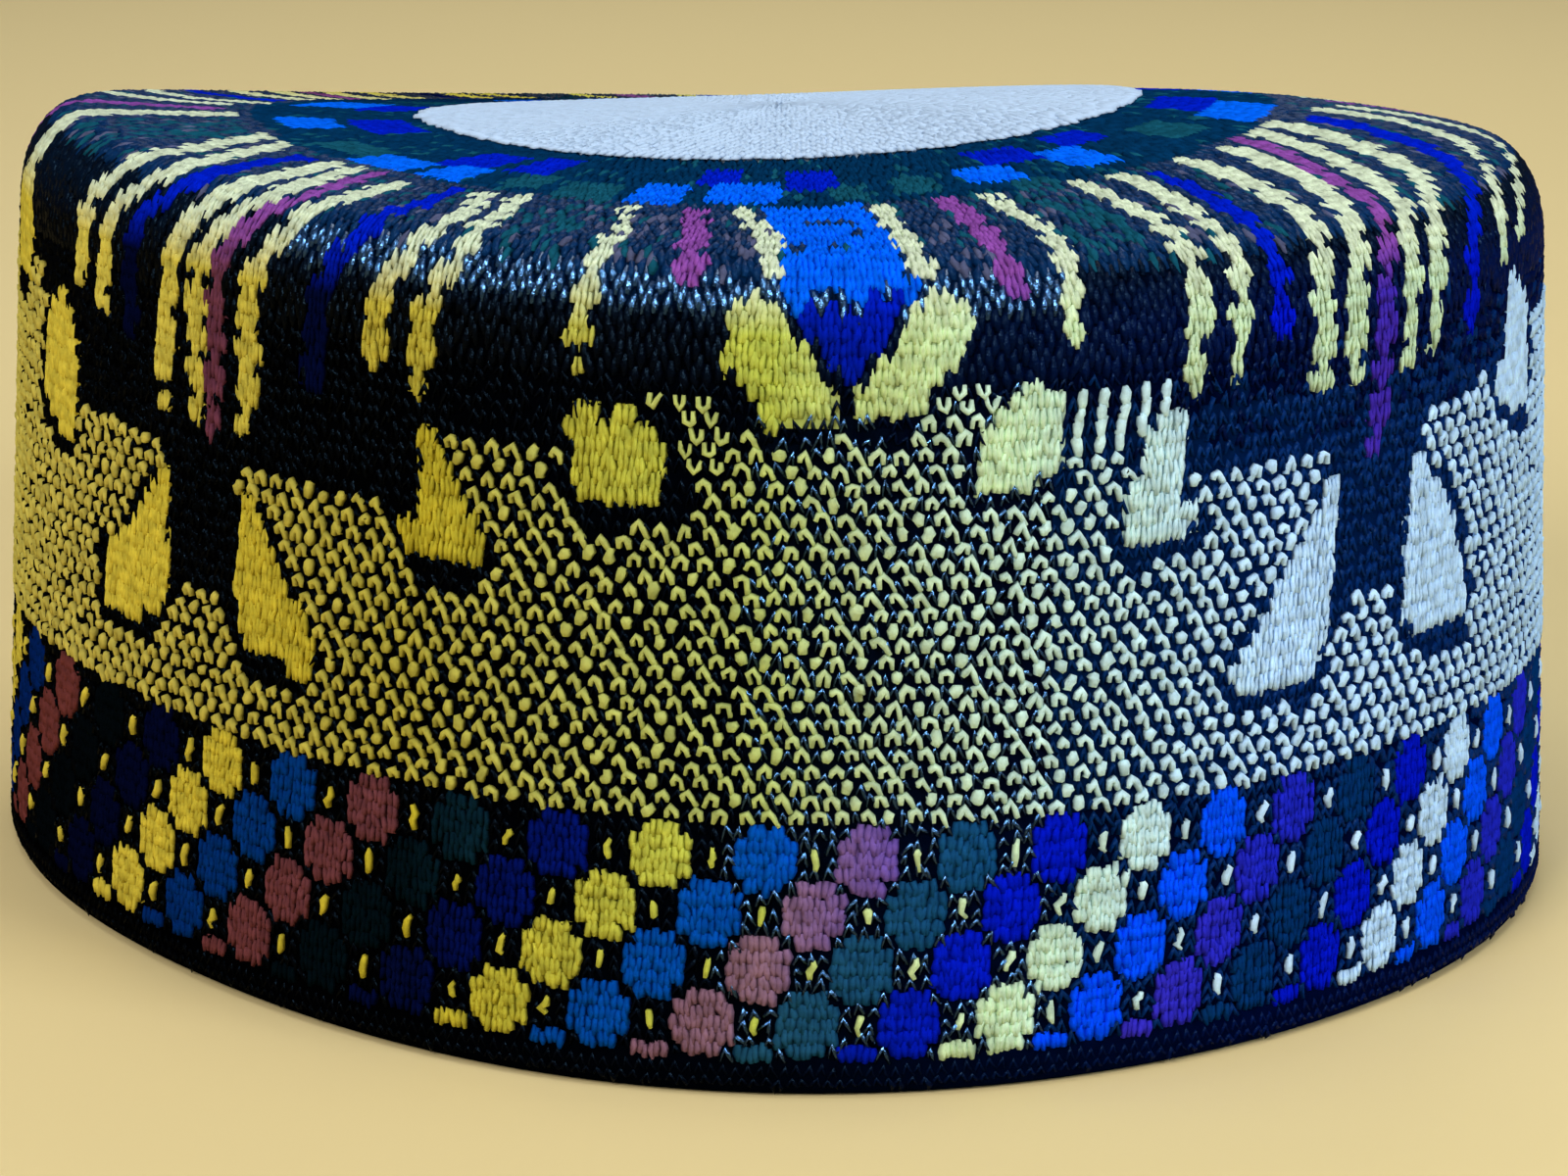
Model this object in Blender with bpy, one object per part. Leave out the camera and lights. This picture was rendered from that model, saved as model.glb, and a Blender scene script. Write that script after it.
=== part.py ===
"""Hausa cap: a round, straight-sided cap with a soft, slightly domed crown.

The cap rests on its rim. Metres, +Z up, the face in view looks along -Y, and
the origin lies under the middle of the cap, on the surface that it rests on.
"""
import math

import bmesh
import bpy
from mathutils import Vector

# Driving dimensions, in metres
RIM_RADIUS = 0.093        # outside of the cap at the hem
TOP_RADIUS = 0.0890       # outside of the wall where the shoulder starts
WALL_HEIGHT = 0.0750      # surface to the start of the shoulder
SHOULDER_REACH = 0.0078   # rounding between wall and crown, inwards
SHOULDER_RISE = 0.0112    # the same rounding, upwards
CROWN_RISE = 0.0025       # crown's middle above the end of the shoulder
KNIT = 0.003              # thickness of the knitted wall and crown
CENTRE_RADIUS = 0.0422    # the pale round in the middle of the crown
CENTRE_KNIT = 0.003       # its thickness
CENTRE_LOFT = 0.0005      # how far it stands above the knit around it
HEM_HEIGHT = 0.0050       # the plain dark edge
HEM_THICKNESS = 0.0036
HEM_ROUNDING = 0.0011     # on the hem's lower outer edge
BACK_SAG = 0.0110         # the empty crown sinks this much towards the back
SIDE_LIFT = 0.0026        # both sides stand this much higher than the front
LEFT_LIFT = 0.0008        # and the left one this much more, the right one less
CENTRE_LEAN = 0.071       # slope of the crown's middle, up towards the right
GAP = 0.0003              # clearance between pieces that touch

# Soft outline seen from above, as shares of the radius; all but the oval fade out towards the back
OVAL_SKEW = 0.024
FRONT_NOSE = 0.016
NOSE_SKEW = -0.008
THREE_WAY = 0.007

SEGMENTS = 72
SHOULDER_TURN = math.radians(80.0)
SHOULDER_STEPS = 6

# Wall: share of its height, share of the way from rim radius to top radius
WALL_SHAPE = ((0.0, 0.0), (0.14, 0.12), (0.32, 0.31), (0.52, 0.53), (0.72, 0.74), (0.88, 0.90), (1.0, 1.0))
# Crown: share of the radius at the end of the shoulder, share of the crown's rise
CROWN_SHAPE = ((1.0, 0.0), (0.94, 0.22), (0.85, 0.47), (0.76, 0.66), (0.66, 0.80), (0.56, 0.90), (0.40, 0.97),
               (0.20, 0.99), (0.0, 1.0))
# Lowest and highest part of the way back, as shares of the rim radius, where the crown sinks
SAG_FROM = -0.27
SAG_TO = 1.03


def clear_scene():
    for item in list(bpy.data.objects):
        bpy.data.objects.remove(item, do_unlink=True)


def along(table, share):
    """Value of a table of pairs at a share, on straight lines between its rows."""
    rows = sorted(table)
    if share <= rows[0][0]:
        return rows[0][1]
    for (a, va), (b, vb) in zip(rows, rows[1:]):
        if share <= b:
            return va + (vb - va) * (share - a) / (b - a)
    return rows[-1][1]


def soft_outline(angle, radius=RIM_RADIUS):
    """Radius factor of the soft cap around its axis; the angle is 0 at the front, and the middle stays round."""
    front = (1 + math.cos(angle)) / 2
    dents = FRONT_NOSE * math.cos(4 * angle) + NOSE_SKEW * math.sin(4 * angle) + THREE_WAY * math.sin(3 * angle)
    way_out = min(radius / crown_edge()[0], 1.0)
    return 1.0 + way_out * way_out * (OVAL_SKEW * math.sin(2 * angle) + front * dents)


def total_height():
    return crown_edge()[1] + CROWN_RISE


def outline_middle():
    """Middle of the hem's outline, which is moved onto the origin."""
    turn = [2 * math.pi * i / SEGMENTS for i in range(SEGMENTS)]
    xs = [hem_bulge() * soft_outline(a) * math.sin(a) for a in turn]
    ys = [-hem_bulge() * soft_outline(a) * math.cos(a) for a in turn]
    return (min(xs) + max(xs)) / 2, (min(ys) + max(ys)) / 2


def hem_bulge():
    return RIM_RADIUS + 0.1 * HEM_THICKNESS


def place(radius, height, angle):
    """A point of the soft cap from its even, round form."""
    r = radius * soft_outline(angle, radius)
    x = r * math.sin(angle)
    y = -r * math.cos(angle)
    way = (y / RIM_RADIUS - SAG_FROM) / (SAG_TO - SAG_FROM)
    way = min(max(way, 0.0), 1.0)
    sag = BACK_SAG * way * way * (3 - 2 * way)
    flat = max(1 - (radius / crown_edge()[0]) ** 2, 0.0)
    side = x / RIM_RADIUS
    lift = SIDE_LIFT * side * side - LEFT_LIFT * side + CENTRE_LEAN * x * flat
    z = height * (1 + (lift - sag) / total_height())
    mx, my = outline_middle()
    return Vector((x - mx, y - my, z))


def wall_radius(height):
    share = along(WALL_SHAPE, height / WALL_HEIGHT)
    return RIM_RADIUS + (TOP_RADIUS - RIM_RADIUS) * share


def crown_edge():
    """Radius and height where the shoulder ends and the crown starts."""
    radius = TOP_RADIUS - SHOULDER_REACH * (1 - math.cos(SHOULDER_TURN))
    return radius, WALL_HEIGHT + SHOULDER_RISE * math.sin(SHOULDER_TURN)


def crown_height(radius):
    edge, base = crown_edge()
    return base + CROWN_RISE * along(CROWN_SHAPE, radius / edge)


def shell_outside(inner_radius):
    """Outer line of the knit, from above the hem to the hole for the centre piece."""
    bottom = HEM_HEIGHT + GAP
    points = [(wall_radius(bottom), bottom)]
    for share, _ in WALL_SHAPE:
        height = share * WALL_HEIGHT
        if height > bottom + 0.2 * HEM_HEIGHT:
            points.append((wall_radius(height), height))
    for i in range(1, SHOULDER_STEPS + 1):
        turn = SHOULDER_TURN * i / SHOULDER_STEPS
        points.append((TOP_RADIUS - SHOULDER_REACH * (1 - math.cos(turn)),
                       WALL_HEIGHT + SHOULDER_RISE * math.sin(turn)))
    edge, _ = crown_edge()
    for share, _ in CROWN_SHAPE[1:]:
        radius = share * edge
        if radius > inner_radius + 0.02 * edge:
            points.append((radius, crown_height(radius)))
    points.append((inner_radius, crown_height(inner_radius)))
    return points


def offset_inwards(points, distance):
    """The same line moved to the inside, square to itself; its ends stay level and upright."""
    moved = []
    for i, (r, z) in enumerate(points):
        r0, z0 = points[max(i - 1, 0)]
        r1, z1 = points[min(i + 1, len(points) - 1)]
        length = math.hypot(r1 - r0, z1 - z0)
        nr, nz = -(z1 - z0) / length, (r1 - r0) / length
        if i == 0:
            nr, nz = -1.0, 0.0
        if i == len(points) - 1:
            nr, nz = 0.0, -1.0
        moved.append((r + nr * distance, z + nz * distance))
    return moved


def turned(name, loop, colour, roughness, capped=False):
    """A closed piece from a loop of radius and height pairs; a capped one starts and ends on the axis."""
    mesh = bpy.data.meshes.new(name)
    bm = bmesh.new()
    rings = []
    for radius, height in loop:
        if capped and radius == 0.0:
            rings.append([bm.verts.new(place(0.0, height, 0.0))])
        else:
            rings.append([bm.verts.new(place(radius, height, 2 * math.pi * i / SEGMENTS)) for i in range(SEGMENTS)])
    pairs = list(zip(rings, rings[1:]))
    if not capped:
        pairs.append((rings[-1], rings[0]))
    for low, high in pairs:
        for i in range(SEGMENTS):
            j = (i + 1) % SEGMENTS
            if len(low) == 1:
                bm.faces.new((low[0], high[j], high[i]))
            elif len(high) == 1:
                bm.faces.new((low[i], low[j], high[0]))
            else:
                bm.faces.new((low[i], low[j], high[j], high[i]))
    bmesh.ops.recalc_face_normals(bm, faces=bm.faces)
    bm.to_mesh(mesh)
    bm.free()
    mesh.shade_smooth()
    mesh.set_sharp_from_angle(angle=math.radians(40))
    piece = bpy.data.objects.new(name, mesh)
    bpy.context.collection.objects.link(piece)
    material = bpy.data.materials.new(name)
    material.use_nodes = True
    shader = material.node_tree.nodes["Principled BSDF"]
    shader.inputs["Base Color"].default_value = (*colour, 1.0)
    shader.inputs["Roughness"].default_value = roughness
    shader.inputs["Metallic"].default_value = 0.0
    mesh.materials.append(material)
    return piece


def knitted_shell():
    outside = shell_outside(CENTRE_RADIUS + GAP)
    inside = offset_inwards(outside, KNIT)
    return turned("knitted_shell", outside + inside[::-1], (0.035, 0.045, 0.085), 0.85)


def crown_centre():
    edge, _ = crown_edge()
    top = [(CENTRE_RADIUS, crown_height(CENTRE_RADIUS) + 0.4 * CENTRE_LOFT)]
    for share in (0.94, 0.72, 0.44):
        radius = share * CENTRE_RADIUS
        top.append((radius, crown_height(radius) + CENTRE_LOFT))
    top.append((0.0, crown_height(0.0) + CENTRE_LOFT))
    underside = [(0.0, crown_height(0.0) - CENTRE_KNIT)]
    for share in (0.44, 0.72):
        radius = share * CENTRE_RADIUS
        underside.append((radius, crown_height(radius) - CENTRE_KNIT))
    underside.append((CENTRE_RADIUS, crown_height(CENTRE_RADIUS) - CENTRE_KNIT))
    rim = [(r, z) for r, z in reversed(top)]
    loop = rim + underside[::-1]
    return turned("crown_centre", loop, (0.72, 0.76, 0.86), 0.9, capped=True)


def hem_band():
    inner = RIM_RADIUS - HEM_THICKNESS
    turn = [math.radians(a) for a in (0, 45, 90)]
    low = [(RIM_RADIUS - HEM_ROUNDING * (1 - math.sin(a)), HEM_ROUNDING * (1 - math.cos(a))) for a in turn]
    loop = low + [(hem_bulge(), 0.55 * HEM_HEIGHT), (wall_radius(HEM_HEIGHT), HEM_HEIGHT),
                  (inner, HEM_HEIGHT), (inner, 0.0)]
    return turned("hem_band", loop, (0.012, 0.016, 0.028), 0.55)


def main():
    clear_scene()
    knitted_shell()
    crown_centre()
    hem_band()


main()
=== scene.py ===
"""Looks of the hausa cap: every stitch of its patterned knit, the white round, the hem, light and camera.

Metres, +Z up. The face in view looks along -Y. The knit is charted in columns round the cap, 0 at the
front and growing to +X, and in units of height measured along the surface from the floor.
"""
import math

import bpy
import numpy as np
from mathutils import Matrix, Vector


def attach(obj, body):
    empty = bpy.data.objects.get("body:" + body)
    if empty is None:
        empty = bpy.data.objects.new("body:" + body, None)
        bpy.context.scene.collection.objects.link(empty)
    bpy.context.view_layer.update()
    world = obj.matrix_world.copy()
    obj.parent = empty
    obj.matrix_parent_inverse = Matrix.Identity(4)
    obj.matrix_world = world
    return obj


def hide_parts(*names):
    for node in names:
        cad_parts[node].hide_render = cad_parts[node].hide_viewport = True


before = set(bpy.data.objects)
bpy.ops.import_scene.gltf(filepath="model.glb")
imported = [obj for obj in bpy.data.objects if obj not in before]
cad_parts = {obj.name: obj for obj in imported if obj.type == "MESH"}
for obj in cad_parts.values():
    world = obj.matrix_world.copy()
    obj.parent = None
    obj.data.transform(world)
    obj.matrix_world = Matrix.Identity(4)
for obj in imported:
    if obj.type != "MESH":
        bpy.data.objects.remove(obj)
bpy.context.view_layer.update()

rng = np.random.default_rng(7)

# The cap's form, with the same sizes as the CAD model
RIM_RADIUS = 0.093
TOP_RADIUS = 0.0890
WALL_HEIGHT = 0.0750
SHOULDER_REACH = 0.0078
SHOULDER_RISE = 0.0112
SHOULDER_TURN = math.radians(80.0)
CROWN_RISE = 0.0025
KNIT = 0.003
CENTRE_RADIUS = 0.0422
CENTRE_KNIT = 0.003
CENTRE_LOFT = 0.0005
HEM_HEIGHT = 0.0050
HEM_THICKNESS = 0.0036
BACK_SAG = 0.0110
SIDE_LIFT = 0.0026
LEFT_LIFT = 0.0008
CENTRE_LEAN = 0.071
OVAL_SKEW = 0.024
FRONT_NOSE = 0.016
NOSE_SKEW = -0.008
THREE_WAY = 0.007
SAG_FROM = -0.27
SAG_TO = 1.03
WALL_SHAPE = ((0.0, 0.0), (0.14, 0.12), (0.32, 0.31), (0.52, 0.53), (0.72, 0.74), (0.88, 0.90), (1.0, 1.0))
CROWN_SHAPE = ((0.0, 1.0), (0.20, 0.99), (0.40, 0.97), (0.56, 0.90), (0.66, 0.80), (0.76, 0.66),
               (0.85, 0.47), (0.94, 0.22), (1.0, 0.0))

# The chart
UNIT = 0.00172            # height of one chart unit
COLUMNS = 440             # chart columns round the cap
MOTIF = 220               # columns of one motif, which repeats at the back
COLUMN_TURN = 2 * math.pi / COLUMNS
COLUMN_WIDE = 2 * math.pi * RIM_RADIUS / COLUMNS

# Levels in chart units from the floor
HEM_TOP = 2.45
LOZENGE_TOP = 16.9
STRIPES_END = 61.4

# Heights over the CAD surface, in metres
GROUND_DEPTH = 0.00030    # the backing lies this much below the surface
FOOT_DEPTH = 0.00042      # edges of a stitch dip below the backing
LOW_FOOT = 0.00033        # the same for the flat strands of a solid fill
CREST = 0.00034           # top of a stitch's yarn


def smooth_steps(x, low, high):
    share = np.clip((x - low) / (high - low), 0.0, 1.0)
    return share * share * (3 - 2 * share)


EDGE_RADIUS = TOP_RADIUS - SHOULDER_REACH * (1 - math.cos(SHOULDER_TURN))
EDGE_HEIGHT = WALL_HEIGHT + SHOULDER_RISE * math.sin(SHOULDER_TURN)
FULL_HEIGHT = EDGE_HEIGHT + CROWN_RISE


def soft_outline(turn, radius):
    front = (1 + np.cos(turn)) / 2
    dents = FRONT_NOSE * np.cos(4 * turn) + NOSE_SKEW * np.sin(4 * turn) + THREE_WAY * np.sin(3 * turn)
    way_out = np.minimum(radius / EDGE_RADIUS, 1.0)
    return 1.0 + way_out * way_out * (OVAL_SKEW * np.sin(2 * turn) + front * dents)


def outline_middle():
    """Middle of the hem's outline, which lies on the origin."""
    steps = 72
    turn = np.arange(steps) * 2 * math.pi / steps
    radius = RIM_RADIUS + 0.1 * HEM_THICKNESS
    reach = radius * soft_outline(turn, np.full(steps, RIM_RADIUS))
    xs, ys = reach * np.sin(turn), -reach * np.cos(turn)
    return (xs.min() + xs.max()) / 2, (ys.min() + ys.max()) / 2


MIDDLE_X, MIDDLE_Y = outline_middle()


def profile_line():
    """The outer line in fine steps, as radius, height and length from the floor."""
    wall = np.array(WALL_SHAPE)
    up = np.linspace(0.0, 1.0, 200)
    points = [(RIM_RADIUS + (TOP_RADIUS - RIM_RADIUS) * np.interp(u, wall[:, 0], wall[:, 1]), u * WALL_HEIGHT)
              for u in up]
    points += [(TOP_RADIUS - SHOULDER_REACH * (1 - math.cos(t)), WALL_HEIGHT + SHOULDER_RISE * math.sin(t))
               for t in np.linspace(0.0, SHOULDER_TURN, 60)[1:]]
    crown = np.array(CROWN_SHAPE)
    points += [(r, EDGE_HEIGHT + CROWN_RISE * np.interp(r / EDGE_RADIUS, crown[:, 0], crown[:, 1]))
               for r in np.linspace(EDGE_RADIUS, 0.0, 300)[1:]]
    line = np.array(points)
    width = 21
    soft = np.array([np.convolve(np.pad(line[:, i], width // 2, mode="edge"), np.ones(width) / width, "valid")
                     for i in (0, 1)]).T
    soft[0], soft[-1] = line[0], line[-1]
    length = np.concatenate([[0.0], np.cumsum(np.hypot(*np.diff(line, axis=0).T))])
    return soft[:, 0], soft[:, 1], length


LINE_RADIUS, LINE_HEIGHT, LINE_LENGTH = profile_line()
FULL_LENGTH = LINE_LENGTH[-1]
CENTRE_EDGE = float(np.interp(-CENTRE_RADIUS, -LINE_RADIUS, LINE_LENGTH)) / UNIT


def radius_at(climb):
    return np.interp(climb, LINE_LENGTH, LINE_RADIUS)


def height_at(climb):
    return np.interp(climb, LINE_LENGTH, LINE_HEIGHT)


def place(radius, height, turn):
    """A point of the soft cap from its even, round form, as an array of x, y, z."""
    reach = radius * soft_outline(turn, radius)
    x = reach * np.sin(turn)
    y = -reach * np.cos(turn)
    sag = BACK_SAG * smooth_steps(y / RIM_RADIUS, SAG_FROM, SAG_TO)
    flat = np.maximum(1 - (radius / EDGE_RADIUS) ** 2, 0.0)
    side = x / RIM_RADIUS
    lift = SIDE_LIFT * side * side - LEFT_LIFT * side + CENTRE_LEAN * x * flat
    z = height * (1 + (lift - sag) / FULL_HEIGHT)
    return np.stack([x - MIDDLE_X, y - MIDDLE_Y, z], axis=-1)


def on_cap(turn, climb, out):
    """Points at a turn round the cap and a climb from the floor, moved outwards from the surface."""
    step_turn, step_climb = 0.002, 0.0003
    here = place(radius_at(climb), height_at(climb), turn)
    across = (place(radius_at(climb), height_at(climb), turn + step_turn)
              - place(radius_at(climb), height_at(climb), turn - step_turn))
    low, high = climb - step_climb, climb + step_climb
    along = place(radius_at(high), height_at(high), turn) - place(radius_at(low), height_at(low), turn)
    normal = np.cross(across, along)
    normal /= np.linalg.norm(normal, axis=-1, keepdims=True)
    return here + normal * np.asarray(out)[..., None]


# Yarns: colour of the wall at the left, left of the middle, middle, right of the middle and right, then
# of the crown; the light yarns turn from mustard to ice, the blues from ink to royal. This change is painted
# light: warm light on the left, painted shade that darkens the dark and blue yarns at the far left, cool
# light on the right, where the dark yarns turn navy, and bluish light from above in the crown's colour
YARN_AND_LIGHT_COLOURS = {
    "cream": ((0.61, 0.49, 0.055), (0.47, 0.385, 0.026), (0.44, 0.50, 0.078), (0.53, 0.72, 0.48),
              (0.47, 0.70, 0.98), (0.61, 0.68, 0.47)),
    # pearl, the dots' yarn: the cream painted whiter and less yellow, as painted highlights on the small dots
    "pearl": ((0.54, 0.45, 0.085), (0.41, 0.36, 0.052), (0.42, 0.50, 0.16), (0.50, 0.70, 0.60),
              (0.46, 0.70, 0.98), (0.61, 0.68, 0.47)),
    "ivory": ((0.60, 0.50, 0.080), (0.45, 0.38, 0.045), (0.44, 0.50, 0.110), (0.50, 0.64, 0.38),
              (0.50, 0.67, 0.46), (0.60, 0.68, 0.49)),
    "blue": ((0.001, 0.014, 0.11), (0.001, 0.045, 0.25), (0.001, 0.070, 0.41), (0.001, 0.055, 0.85),
             (0.001, 0.080, 0.98), (0.001, 0.125, 0.88)),
    "mauve": ((0.13, 0.032, 0.030), (0.14, 0.042, 0.052), (0.22, 0.12, 0.18), (0.060, 0.032, 0.50),
              (0.012, 0.018, 0.52), (0.20, 0.060, 0.36)),
    "teal": ((0.001, 0.002, 0.003), (0.001, 0.005, 0.008), (0.011, 0.066, 0.125), (0.005, 0.060, 0.18),
             (0.001, 0.026, 0.13), (0.006, 0.075, 0.120)),
    "navy": ((0.001, 0.002, 0.016), (0.001, 0.003, 0.030), (0.001, 0.010, 0.26), (0.001, 0.008, 0.50),
             (0.001, 0.007, 0.54), (0.0005, 0.012, 0.50)),
    "purple": ((0.12, 0.030, 0.050), (0.13, 0.040, 0.075), (0.20, 0.060, 0.30), (0.11, 0.040, 0.36),
               (0.050, 0.022, 0.40), (0.24, 0.065, 0.33)),
    "black": ((0.0008, 0.0008, 0.0010), (0.0008, 0.0010, 0.0016), (0.0006, 0.0018, 0.0060),
              (0.0004, 0.0040, 0.026), (0.0003, 0.0045, 0.050), (0.0008, 0.0045, 0.015)),
    "spark": ((0.001, 0.002, 0.004), (0.001, 0.003, 0.008), (0.001, 0.004, 0.012), (0.001, 0.004, 0.020),
              (0.001, 0.005, 0.045), (0.002, 0.016, 0.060)),
    # slate: the dark ground painted lighter and bluer, as painted sheen on the crown and painted cool light
    # at the right
    "slate": ((0.002, 0.005, 0.014), (0.002, 0.008, 0.026), (0.002, 0.010, 0.034), (0.001, 0.016, 0.075),
              (0.001, 0.020, 0.125), (0.002, 0.022, 0.085)),
    "fleck": ((0.030, 0.035, 0.050), (0.050, 0.055, 0.080), (0.070, 0.075, 0.14), (0.050, 0.070, 0.16),
              (0.040, 0.060, 0.20), (0.080, 0.090, 0.17)),
    "ring": ((0.001, 0.006, 0.020), (0.001, 0.008, 0.030), (0.001, 0.010, 0.036), (0.001, 0.012, 0.050),
             (0.001, 0.012, 0.070), (0.001, 0.028, 0.085)),
    # white: its bluish cast, a little lighter to the right, is painted cool light
    "white": ((0.45, 0.58, 0.76), (0.46, 0.59, 0.77), (0.47, 0.60, 0.78), (0.48, 0.61, 0.79),
              (0.49, 0.61, 0.79), (0.48, 0.61, 0.78)),
}
RAMP_STOPS = (0.08, 0.30, 0.50, 0.63, 0.78)
YARN_NAMES = list(YARN_AND_LIGHT_COLOURS)
CODE = {name: i for i, name in enumerate(YARN_NAMES)}

# Cream leaves of one motif, as outlines of column and height
LEAVES = (
    ((-101.0, 39.0), (-92.0, 39.5), (-90.5, 43.0), (-92.5, 46.5), (-96.0, 48.0), (-101.0, 45.0)),
    ((-86.0, 33.0), (-80.0, 31.0), (-77.4, 31.2), (-77.5, 37.5), (-79.5, 39.6), (-82.0, 40.5),
     (-85.0, 38.0)),
    ((-70.6, 21.8), (-64.6, 21.8), (-61.0, 23.4), (-60.3, 24.4), (-60.3, 31.6), (-62.2, 31.6),
     (-63.4, 30.2), (-65.4, 28.0), (-68.4, 26.6), (-70.8, 25.6)),
    ((-49.7, 32.2), (-48.9, 32.2), (-46.5, 29.6), (-44.0, 27.2), (-42.0, 25.2), (-40.6, 24.4),
     (-40.8, 21.8), (-43.0, 22.1), (-48.0, 22.3), (-50.0, 24.0), (-50.6, 26.0)),
    ((-29.6, 38.4), (-28.6, 38.6), (-27.4, 36.6), (-25.0, 34.6), (-23.4, 32.4), (-24.2, 30.9),
     (-29.5, 30.7), (-31.9, 32.2), (-31.6, 33.1), (-29.9, 33.4)),
    ((-16.2, 40.0), (-15.8, 41.7), (-14.2, 41.6), (-13.0, 40.4), (-11.5, 41.9), (-10.2, 40.6),
     (-8.8, 39.4), (-8.8, 35.9), (-12.0, 35.7), (-12.8, 35.5), (-15.0, 35.6), (-16.2, 37.5)),
    ((-4.5, 44.4), (-3.8, 46.0), (-3.8, 47.6), (-1.2, 48.8), (0.2, 47.8), (1.0, 46.4), (2.6, 45.5),
     (3.6, 44.0), (4.8, 43.0), (4.6, 41.0), (-0.4, 40.9), (-1.2, 42.0), (-2.4, 43.2)),
    ((5.8, 41.1), (6.1, 43.1), (8.0, 44.2), (10.0, 46.2), (11.0, 47.7), (12.3, 48.9), (14.1, 48.5),
     (15.4, 47.4), (15.4, 45.4), (14.1, 44.4), (12.4, 42.9), (10.7, 41.3)),
    ((15.7, 36.4), (16.0, 39.0), (17.2, 41.0), (18.7, 42.6), (20.0, 43.2), (22.6, 42.5), (22.5, 38.2),
     (21.0, 37.2), (17.0, 36.7)),
    ((28.1, 33.2), (28.1, 35.6), (29.7, 36.9), (30.1, 38.9), (31.5, 40.2), (33.6, 40.2), (33.4, 36.5),
     (33.3, 34.9), (35.1, 34.7), (35.1, 33.7), (33.0, 33.0), (29.0, 32.8)),
    ((38.3, 24.0), (38.9, 22.9), (44.5, 22.7), (46.2, 22.2), (47.6, 24.0), (48.8, 25.5), (49.8, 34.6),
     (48.6, 34.6), (46.5, 32.1), (44.0, 30.1), (41.4, 27.0)),
    ((59.0, 35.2), (60.6, 35.2), (61.4, 34.2), (64.2, 31.6), (66.6, 28.2), (67.8, 25.6), (67.6, 23.4),
     (65.2, 23.2), (60.6, 23.4), (58.3, 24.6), (57.6, 25.8), (58.4, 30.3)),
    ((76.2, 43.0), (77.5, 44.0), (82.0, 42.0), (83.5, 36.5), (82.0, 34.4), (78.0, 35.0), (73.4, 36.6),
     (73.2, 38.0), (75.8, 39.0)),
)

# Upper edge of the dotted ground, as column and height
DOTS_TOP = ((-110.0, 41.0), (-86.9, 41.0), (-86.8, 39.5), (-77.2, 39.5), (-77.1, 33.9), (-61.0, 33.9),
            (-60.4, 31.4), (-60.3, 24.2), (-55.6, 25.4), (-53.0, 25.0), (-50.3, 22.6), (-50.2, 33.7),
            (-34.0, 33.7), (-31.7, 33.2), (-31.5, 31.0), (-27.8, 31.0), (-27.7, 38.9), (-17.4, 38.9),
            (-17.3, 35.8), (-10.0, 35.8), (-9.9, 42.7), (-4.0, 42.7), (-3.9, 40.9), (10.8, 40.9),
            (10.9, 43.2), (17.5, 43.2), (17.6, 36.6), (23.0, 36.6), (23.1, 41.9), (33.5, 41.9),
            (33.6, 36.4), (49.7, 36.4), (49.8, 25.2), (51.0, 26.6), (53.0, 27.6), (56.0, 27.0),
            (58.0, 24.8), (59.2, 24.4), (59.3, 36.2), (62.0, 37.2), (73.5, 38.6), (84.0, 40.4),
            (110.0, 41.0))

# Dark edge left round the leaves, as steps in column and height, and a dark wedge beside one of them
LEAF_MARGIN = ((1.1, 0.0), (-1.1, 0.0), (0.0, 1.3), (0.0, -0.7))
WEDGE = ((-9.6, 40.4), (-8.4, 41.4), (-6.4, 38.0), (-6.0, 35.2), (-9.6, 34.8))

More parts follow.
